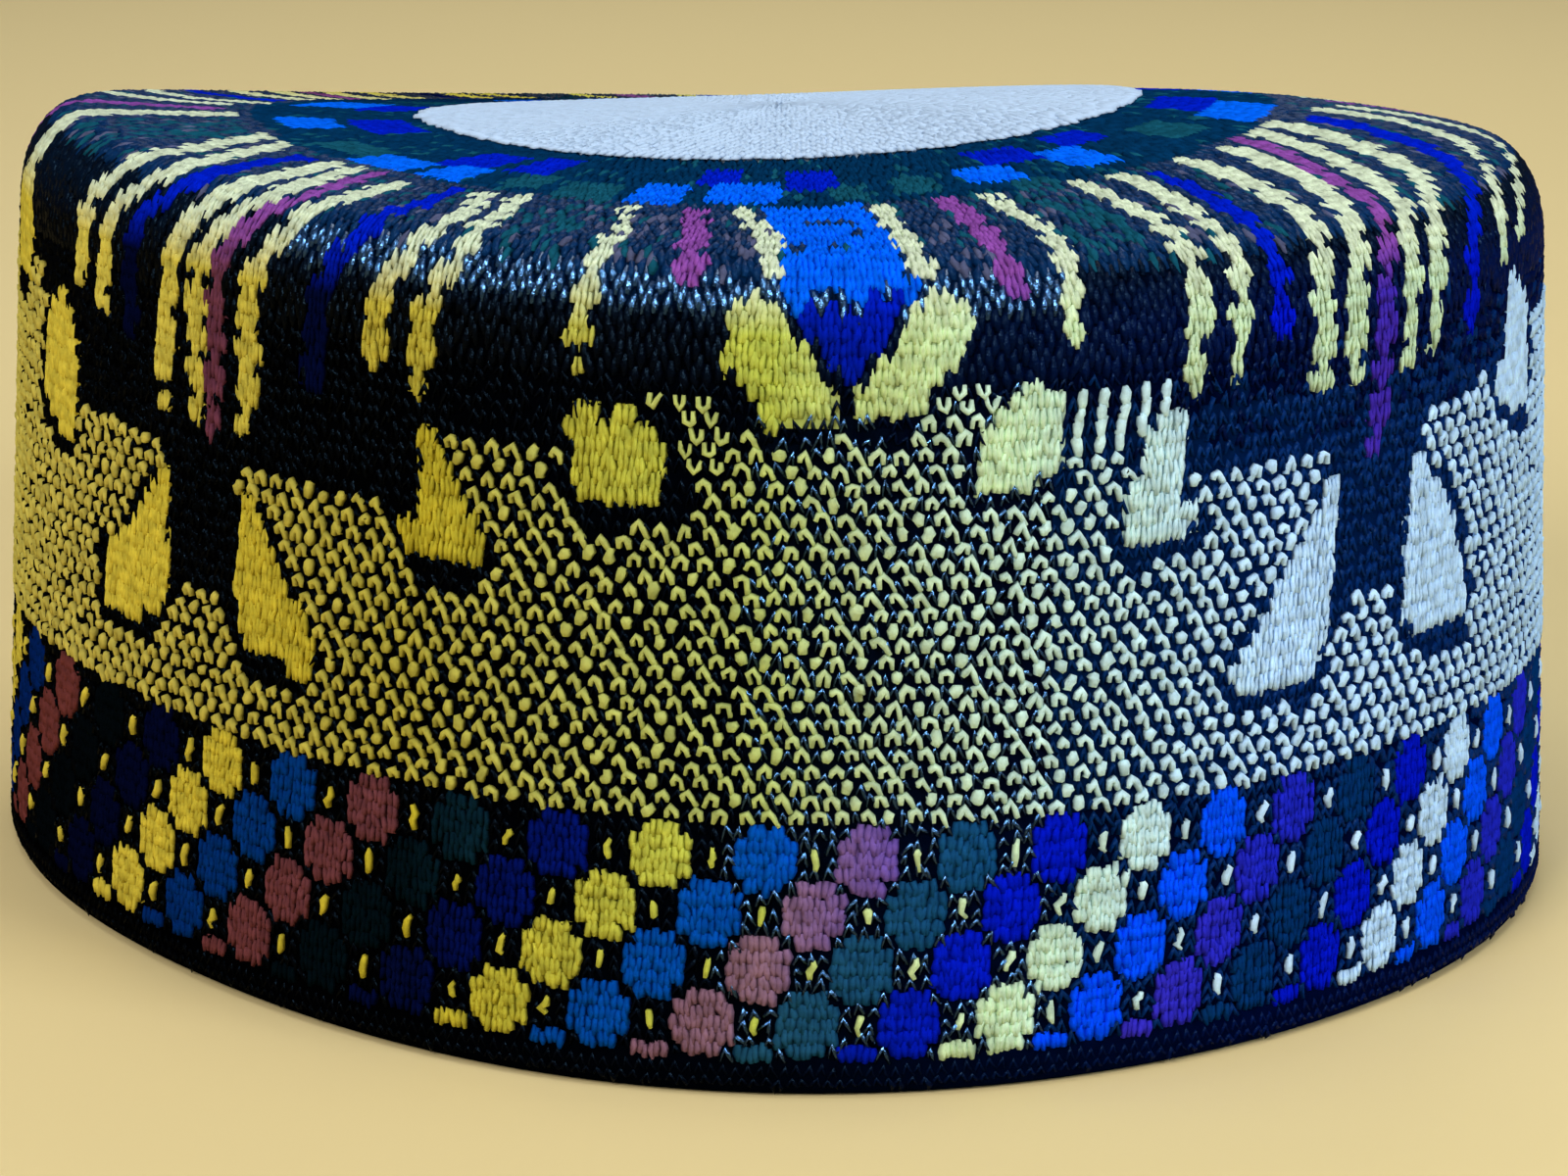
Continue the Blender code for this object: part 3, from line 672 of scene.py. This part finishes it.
def yarn_material(name, yarn, shade=1.0, rough=0.8, gloss=0.0, fuzz=0.5, tint=(1.0, 1.0, 1.0), uneven=0.28):
    """Soft spun yarn, with mottling and fine fibres; its colour changes over the cap as painted light: warmer
    at the left, cooler at the right and bluish from above on the crown.
    """
    material, nodes, links, shader = new_material(name)
    where = nodes.new("ShaderNodeTexCoord")
    split = nodes.new("ShaderNodeSeparateXYZ")
    links.new(where.outputs["Object"], split.inputs[0])
    # Painted light across the cap: the ramp over X stands in for warm light at the left and cool light at the
    # right
    side = nodes.new("ShaderNodeMapRange")
    side.inputs["From Min"].default_value = -RIM_RADIUS
    side.inputs["From Max"].default_value = RIM_RADIUS
    links.new(split.outputs["X"], side.inputs["Value"])
    # Painted light from above: higher up, the colour turns to the yarn's bluish-lit crown colour
    crown = nodes.new("ShaderNodeMapRange")
    crown.inputs["From Min"].default_value = WALL_HEIGHT + 0.0040
    crown.inputs["From Max"].default_value = EDGE_HEIGHT - 0.0015
    links.new(split.outputs["Z"], crown.inputs["Value"])
    ramp = nodes.new("ShaderNodeValToRGB")
    colours = [tuple(c * shade for c in colour) for colour in YARN_AND_LIGHT_COLOURS[yarn]]
    crown_colour_lit_from_above = colours.pop()
    while len(ramp.color_ramp.elements) < len(colours):
        ramp.color_ramp.elements.new(0.5)
    for element, stop, colour in zip(ramp.color_ramp.elements, RAMP_STOPS, colours):
        element.position = stop
        element.color = (*colour, 1.0)
    links.new(side.outputs[0], ramp.inputs[0])
    upper = nodes.new("ShaderNodeMix")
    upper.data_type = "RGBA"
    upper.inputs["B"].default_value = (*crown_colour_lit_from_above, 1.0)
    links.new(crown.outputs[0], upper.inputs["Factor"])
    links.new(ramp.outputs["Color"], upper.inputs["A"])
    mottle = nodes.new("ShaderNodeTexNoise")
    mottle.inputs["Scale"].default_value = 620.0
    mottle.inputs["Detail"].default_value = 3.0
    links.new(where.outputs["Object"], mottle.inputs["Vector"])
    tone = nodes.new("ShaderNodeMapRange")
    tone.inputs["From Min"].default_value = 0.30
    tone.inputs["From Max"].default_value = 0.70
    tone.inputs["To Min"].default_value = 1 - uneven
    tone.inputs["To Max"].default_value = 1 + 0.8 * uneven
    links.new(mottle.outputs["Fac"], tone.inputs["Value"])
    mixed = nodes.new("ShaderNodeMix")
    mixed.data_type = "RGBA"
    mixed.blend_type = "MULTIPLY"
    mixed.inputs["Factor"].default_value = 1.0
    links.new(upper.outputs["Result"], mixed.inputs["A"])
    links.new(tone.outputs[0], mixed.inputs["B"])
    links.new(mixed.outputs["Result"], shader.inputs["Base Color"])
    fibres = nodes.new("ShaderNodeTexNoise")
    fibres.inputs["Scale"].default_value = 2600.0
    fibres.inputs["Detail"].default_value = 2.0
    fibres.inputs["Distortion"].default_value = 0.6
    links.new(where.outputs["Object"], fibres.inputs["Vector"])
    bump = nodes.new("ShaderNodeBump")
    bump.inputs["Strength"].default_value = fuzz
    bump.inputs["Distance"].default_value = 0.00015
    links.new(fibres.outputs["Fac"], bump.inputs["Height"])
    links.new(bump.outputs["Normal"], shader.inputs["Normal"])
    middle = colours[2]
    shader.inputs["Base Color"].default_value = (*middle, 1.0)
    shader.inputs["Roughness"].default_value = rough
    shader.inputs["Specular IOR Level"].default_value = gloss
    shader.inputs["Specular Tint"].default_value = (*tint, 1.0)
    return material


# Finish of the yarns on top: most are matt, and the dark ones glint a little, with a bluish tint
MATT = {"rough": 0.70, "fuzz": 0.55}
SHEEN = {"rough": 0.26, "gloss": 0.025, "fuzz": 1.0, "tint": (0.4, 0.7, 1.0)}
FINISHES = {
    "spark": {"rough": 0.17, "gloss": 1.0, "fuzz": 1.0, "tint": (0.26, 0.56, 1.0)},
    "black": SHEEN,
    "slate": SHEEN,
    "white": {"rough": 0.8, "fuzz": 0.25, "uneven": 0.08},
}
GROUND_YARNS = ("black", "spark", "slate")
DARK_YARNS = GROUND_YARNS + ("ring",)
# Painted shade: the yarn between the stitches is coloured darker than on top
DARK_SHADE = 0.45         # share of its colour that a dark yarn keeps between the stitches
LIGHT_SHADE = 0.80        # and that a light one keeps


def yarn_materials():
    """Material of each yarn as it lies on top, and a darker copy of the same yarn that paints the shade
    between the stitches.
    """
    top = {}
    painted_shade = {}
    for yarn in YARN_NAMES:
        top[yarn] = yarn_material("yarn_" + yarn, yarn, **FINISHES.get(yarn, MATT))
        shade = DARK_SHADE if yarn in DARK_YARNS else LIGHT_SHADE
        painted_shade[yarn] = yarn_material("painted_shade_" + yarn, yarn, shade, rough=0.9, fuzz=0.4)
    return top, painted_shade


def is_yarn(code, yarns):
    return np.isin(code, [CODE[yarn] for yarn in yarns])


def finish_piece(piece, material, slot, *nodes):
    if material is not None:
        piece.data.materials.append(material)
    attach(piece, "root")
    if nodes:
        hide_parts(*nodes)
    return piece


def lozenge_backing(column, height):
    """Yarn code behind the lozenge rows, taken from the nearest stitch of the nearest row."""
    places, _, code, _, core = lozenge_places()
    row = min(max(int((height - HEM_TOP) / LOZENGE_ROW), 0), LOZENGE_ROWS - 1)
    start = row * COLUMNS
    turns = wrapped(places[start:start + COLUMNS])
    codes = np.where(core, code, CODE["black"])[start:start + COLUMNS]
    order = np.argsort(turns)
    nearest = np.searchsorted(turns[order], column) % COLUMNS
    return codes[order][nearest]


def knit_backing(painted_shade):
    """The wall and crown behind the stitches: one closed shell, tinted as the stitches over it but darker, as
    painted shade between them.
    """
    low = HEM_HEIGHT / UNIT + 0.2
    shoulder = 52.0
    rows = np.concatenate([np.linspace(low, LOZENGE_TOP, 18), np.linspace(LOZENGE_TOP, shoulder, 38)[1:],
                           np.linspace(shoulder, CENTRE_EDGE - 0.1, 24)[1:]])
    inner_rows = np.linspace(rows[-1], low, 24)
    inner_depth = KNIT - 0.0004
    turn = np.arange(COLUMNS) * COLUMN_TURN
    rings = [on_cap(turn, np.full(COLUMNS, row * UNIT), np.full(COLUMNS, -depth))
             for level, depth in ((rows, GROUND_DEPTH), (inner_rows, inner_depth)) for row in level]
    piece = closed_band("knit_backing", rings)
    codes = np.full((len(rings), COLUMNS), CODE["black"])
    column = wrapped(np.arange(COLUMNS) + 0.5)
    for r in range(len(rows) - 1):
        middle = (rows[r] + rows[r + 1]) / 2
        if middle > LOZENGE_TOP:
            codes[r] = upper_chart(column, np.full(COLUMNS, middle))
        else:
            codes[r] = lozenge_backing(column, middle)
    for yarn in YARN_NAMES:
        piece.data.materials.append(painted_shade[yarn])
    piece.data.polygons.foreach_set("material_index", codes.ravel().astype(np.int32))
    piece.data.update()
    finish_piece(piece, None, "patterned_knit", "knitted_shell")


def in_zone(column, height, zone):
    first, last, low = zone
    return between(column, first, last) & (height > low)


def dotted_places():
    """Stitches of the dotted ground and the leaves: column, height and whether each is a light one."""
    i, j = np.meshgrid(np.arange(DOT_COLUMNS), np.arange(DOT_ROWS))
    column = wrapped(i * COLUMNS / DOT_COLUMNS + DOT_LEAN * j)
    height = LOZENGE_TOP + DOT_ROW * (j + 0.55)
    c = wrapped(column, MOTIF)
    upright = in_zone(c, height, UPRIGHT_DOTS)
    hooked = in_zone(c, height, HOOKED_DOTS[0]) | in_zone(c, height, HOOKED_DOTS[1])
    light = np.where(upright, i % 2 == 0, (i + j) % 2 == 0)
    return tuple(a.ravel() for a in (column, height, light, upright, hooked))


def rows_inwards(height, end, pitch, stitches_in, lean=0.0):
    """Column, height and width of stitches in rows up the crown; every other row is shifted by half."""
    columns, heights, widths = [], [], []
    row = 0
    while height < end:
        around = 2 * math.pi * float(radius_at(height * UNIT))
        count = stitches_in(height, around)
        i = np.arange(count)
        columns.append(wrapped((i + 0.5 * (row % 2)) * COLUMNS / count + lean))
        heights.append(np.full(count, height))
        widths.append(np.full(count, around / count))
        height += pitch
        row += 1
    return tuple(np.concatenate(a) for a in (columns, heights, widths))


def crown_places():
    """Stitches from the top of the dots to the white centre."""
    def stitches_in(height, around):
        return next(count for below, count in CROWN_COUNTS if height < below)

    return rows_inwards(DOTS_END + CROWN_ROW / 2, CENTRE_EDGE - 0.25, CROWN_ROW, stitches_in,
                        DOT_LEAN * DOT_ROWS)


def knit_stitches(top):
    """Every stitch of wall, shoulder, crown and ring, a piece for each yarn and way."""
    groups = {}

    def keep(kind, way, chosen, code, column, height, wide, tall, **looks):
        wide = np.broadcast_to(wide, column.shape)
        for value in np.unique(code[chosen]):
            these = chosen & (code == value)
            entry = (way, column[these], height[these], wide[these], tall, looks)
            groups.setdefault((kind, YARN_NAMES[value]), []).append(entry)

    def keep_solid(kind, way, chosen, code, column, height, wide, tall):
        """Solid fills: two flat strands to a stitch."""
        for side in (-0.25, 0.25):
            keep(kind, way, chosen, code, column + side * wide / COLUMN_WIDE, height, wide, tall, rise=0.11)

    column, height, code, single, _ = lozenge_places()
    wide, tall = COLUMN_WIDE, LOZENGE_ROW * UNIT
    dark = code == CODE["black"]
    keep_solid("lozenge", SHORT, ~dark & ~single, code, column, height, wide, tall)
    keep("seed", SEED, single, code, column, height, wide, tall * 1.2, swell=0.95, spread=0.12, section=FLAT)
    code[dark & between(column, *LOZENGE_SPARK)] = CODE["spark"]
    # Right of the front the dark ground between the lozenges is painted bluish, as painted cool light
    code[dark & between(column, *LOZENGE_SLATE)] = CODE["slate"]
    keep("wall", PLAIN, dark, code, column, height, wide, tall, spread=0.12, rise=0.15)

    column, height, light, upright, hooked = dotted_places()
    code = upper_chart(column, height)
    ground = is_yarn(code, GROUND_YARNS)
    dots = dots_at(column, height) & ground & light
    wide = 2 * math.pi * radius_at(height * UNIT) / DOT_COLUMNS
    tall = DOT_ROW * UNIT
    # The dots' pearl yarn is the cream painted whiter, as painted highlights
    pearl = np.full(len(column), CODE["pearl"])
    draw = rng.random(len(column))
    plain = ~upright & ~hooked
    arch = draw < ARCHES
    knot = draw >= ARCHES_AND_STRAYS
    kinds = ((ARCH, plain & arch), (STRAY, plain & ~arch & ~knot), (KNOT, plain & knot), (BAR, upright),
             (HOOK, hooked))
    for way, sort in kinds:
        keep("dots", way, dots & sort, pearl, column, height, wide, tall, spread=0.075, section=FLAT)
    dark = ~dots & ground
    keep("wall", PLAIN, dark, code, column, height, wide, tall, spread=0.12, rise=0.15)
    keep_solid("leaf", STRAND, ~dots & ~dark, code, column, height, wide, tall)

    column, height, wide = crown_places()
    code = upper_chart(column, height)
    tall = CROWN_ROW * UNIT
    dark = is_yarn(code, DARK_YARNS)
    mixed = strays_at(column, height, code)
    keep("crown", RIB, dark, mixed, column, height, wide, tall, spread=0.08, rise=0.25)
    keep_solid("crown_stripe", STRAND, ~dark, code, column, height, wide, tall)

    for (kind, yarn), entries in groups.items():
        for number, (way, column, height, wide, tall, looks) in enumerate(entries):
            name = f"{kind}_{yarn}_{number + 1}"
            foot = LOW_FOOT if way in (STRAND, SHORT, RIB) else FOOT_DEPTH
            piece = yarn_mesh(name, column, height, wide, tall, way, foot=foot, **looks)
            finish_piece(piece, top[yarn], "patterned_knit")


def hem(top, painted_shade):
    """The rolled dark edge: a closed band with two rows of dark stitches over it."""
    turn = np.arange(COLUMNS // 2) * COLUMN_TURN * 2
    count = len(turn)
    rings = [place(np.full(count, RIM_RADIUS - inset), np.full(count, z), turn) for inset, z in HEM_LINE]
    # The band under the hem's stitches takes the black yarn's darker copy: painted shade
    finish_piece(closed_band("hem_band_knit", rings), painted_shade["black"], "hem_cloth", "hem_band")
    count = DOT_COLUMNS
    wide = 2 * math.pi * RIM_RADIUS / count
    for number, (height, tall) in enumerate(HEM_ROWS):
        column = wrapped((np.arange(count) + 0.5 * number) * COLUMNS / count)
        row = yarn_mesh(f"hem_row_{number + 1}", column, np.full(count, height), wide, tall * UNIT, PLAIN,
                        spread=0.05, swell=1.15)
        finish_piece(row, top["black"], "hem_cloth")


def white_centre(top, painted_shade):
    """The white knitted round: a closed disc with rows of small stitches that get fewer inwards."""
    count = 120
    turn = np.arange(count) * 2 * math.pi / count
    start = CENTRE_EDGE * UNIT + CENTRE_INSET
    loft = CENTRE_LOFT - GROUND_DEPTH
    shares = (0.0, 0.12, 0.3, 0.5, 0.7, 0.9)

    def level(share, out):
        climb = start + (FULL_LENGTH - start) * share
        return on_cap(turn, np.full(count, climb), np.full(count, out))

    def tip(out):
        return place(np.zeros(1), np.array([FULL_HEIGHT + out]), np.zeros(1))

    levels = [level(share, loft) for share in shares] + [level(share, -CENTRE_KNIT) for share in shares[::-1]]
    verts = np.concatenate(levels + [tip(loft), tip(-CENTRE_KNIT)])
    n = len(shares)
    quads = [band_quads(r, r + 1, count) for r in range(2 * n - 1) if r != n - 1]
    quads.append(band_quads(2 * n - 1, 0, count))
    a = np.arange(count)
    b = (a + 1) % count
    tris = [np.stack([(n - 1) * count + a, (n - 1) * count + b, np.full(count, len(verts) - 2)], axis=1),
            np.stack([n * count + b, n * count + a, np.full(count, len(verts) - 1)], axis=1)]
    disc = mesh_object("centre_backing", verts, np.concatenate(quads), np.concatenate(tris))
    # The disc under the white stitches takes the white yarn's darker copy: painted shade
    finish_piece(disc, painted_shade["white"], "centre_knit", "crown_centre")

    def stitches_in(height, around):
        return max(int(around / CENTRE_STITCH), 6)

    places = rows_inwards(CENTRE_EDGE + CENTRE_FIRST / UNIT, (FULL_LENGTH - CENTRE_LAST) / UNIT,
                          CENTRE_ROW / UNIT, stitches_in)
    stitches = yarn_mesh("centre_stitches", *places, CENTRE_ROW * 1.1, FINE, rise=0.20, foot=LOW_FOOT)
    stitches.location.z = CENTRE_LOFT
    finish_piece(stitches, top["white"], "centre_knit")


def floor():
    mesh = bpy.data.meshes.new("floor")
    size = 4.0
    mesh.from_pydata([(-size, -size, 0), (size, -size, 0), (size, size, 0), (-size, size, 0)], [],
                     [(0, 1, 2, 3)])
    piece = bpy.data.objects.new("floor", mesh)
    bpy.context.scene.collection.objects.link(piece)
    material, _, _, shader = new_material("floor_paper")
    shader.inputs["Base Color"].default_value = (0.80, 0.63, 0.31, 1.0)
    shader.inputs["Roughness"].default_value = 0.9
    shader.inputs["Specular IOR Level"].default_value = 0.0
    mesh.materials.append(material)


def area_light(name, place_at, aim, size, power, colour):
    light = bpy.data.lights.new(name, "AREA")
    light.shape = "RECTANGLE"
    light.size, light.size_y = size
    light.energy = power
    light.color = colour
    lamp = bpy.data.objects.new(name, light)
    bpy.context.scene.collection.objects.link(lamp)
    lamp.location = place_at
    direction = lamp.location - Vector(aim)
    lamp.rotation_mode = "QUATERNION"
    lamp.rotation_quaternion = direction.to_track_quat("Z", "Y")
    return lamp


def studio():
    """Soft light from all round, and two lights that show only as reflections in the glossy yarn."""
    world = bpy.data.worlds.new("studio")
    bpy.context.scene.world = world
    world.use_nodes = True
    background = world.node_tree.nodes["Background"]
    background.inputs["Color"].default_value = (0.96, 0.98, 1.0, 1.0)
    background.inputs["Strength"].default_value = 0.22
    aim = (0.0, 0.0, 0.04)
    area_light("key", (-0.55, -0.95, 0.75), aim, (0.45, 0.45), 8.6, (1.0, 0.98, 0.94))
    area_light("cool_side", (0.85, -0.60, 0.55), aim, (0.45, 0.45), 6.4, (0.86, 0.93, 1.0))
    area_light("back", (0.10, 0.75, 0.80), aim, (0.50, 0.50), 2.8, (0.90, 0.95, 1.0))
    area_light("over", (0.0, -0.10, 0.95), aim, (0.60, 0.40), 2.6, (0.90, 0.95, 1.0))
    shoulder = (0.0, -0.09, 0.08)
    cyan = (0.68, 0.86, 1.0)
    shines = (area_light("shoulder_shine", (0.0, -0.50, 0.85), shoulder, (0.70, 0.05), 36.0, cyan),
              area_light("wall_shine", (0.30, -0.80, 0.50), aim, (0.10, 0.10), 5.0, (0.74, 0.88, 1.0)))
    for shine in shines:
        shine.visible_diffuse = False
    bpy.context.scene.view_settings.view_transform = "Standard"


# Camera, fitted to the photograph's view of the hem, the shoulder and the white centre
CAMERA_PLACE = (0.000655, -0.481188, 0.163795)
CAMERA_DOWN = 0.275026
CAMERA_ROLL = 0.0130219
CAMERA_YAW = 0.00197401
CAMERA_LENS = 93.33


def camera():
    data = bpy.data.cameras.new("camera")
    data.sensor_width = 36.0
    data.lens = CAMERA_LENS
    data.clip_start = 0.01
    view = bpy.data.objects.new("camera", data)
    bpy.context.scene.collection.objects.link(view)
    down, roll, yaw = CAMERA_DOWN, CAMERA_ROLL, CAMERA_YAW
    level = np.array((math.cos(yaw), -math.sin(yaw), 0.0))
    ahead = np.array((math.cos(down) * math.sin(yaw), math.cos(down) * math.cos(yaw), -math.sin(down)))
    upright = np.cross(level, ahead)
    right = level * math.cos(roll) + upright * math.sin(roll)
    up = upright * math.cos(roll) - level * math.sin(roll)
    rows = [[right[i], up[i], -ahead[i], CAMERA_PLACE[i]] for i in range(3)] + [[0, 0, 0, 1]]
    view.matrix_world = Matrix(rows)
    bpy.context.scene.camera = view


camera()
studio()
floor()
top, painted_shade = yarn_materials()
knit_backing(painted_shade)
knit_stitches(top)
hem(top, painted_shade)
white_centre(top, painted_shade)
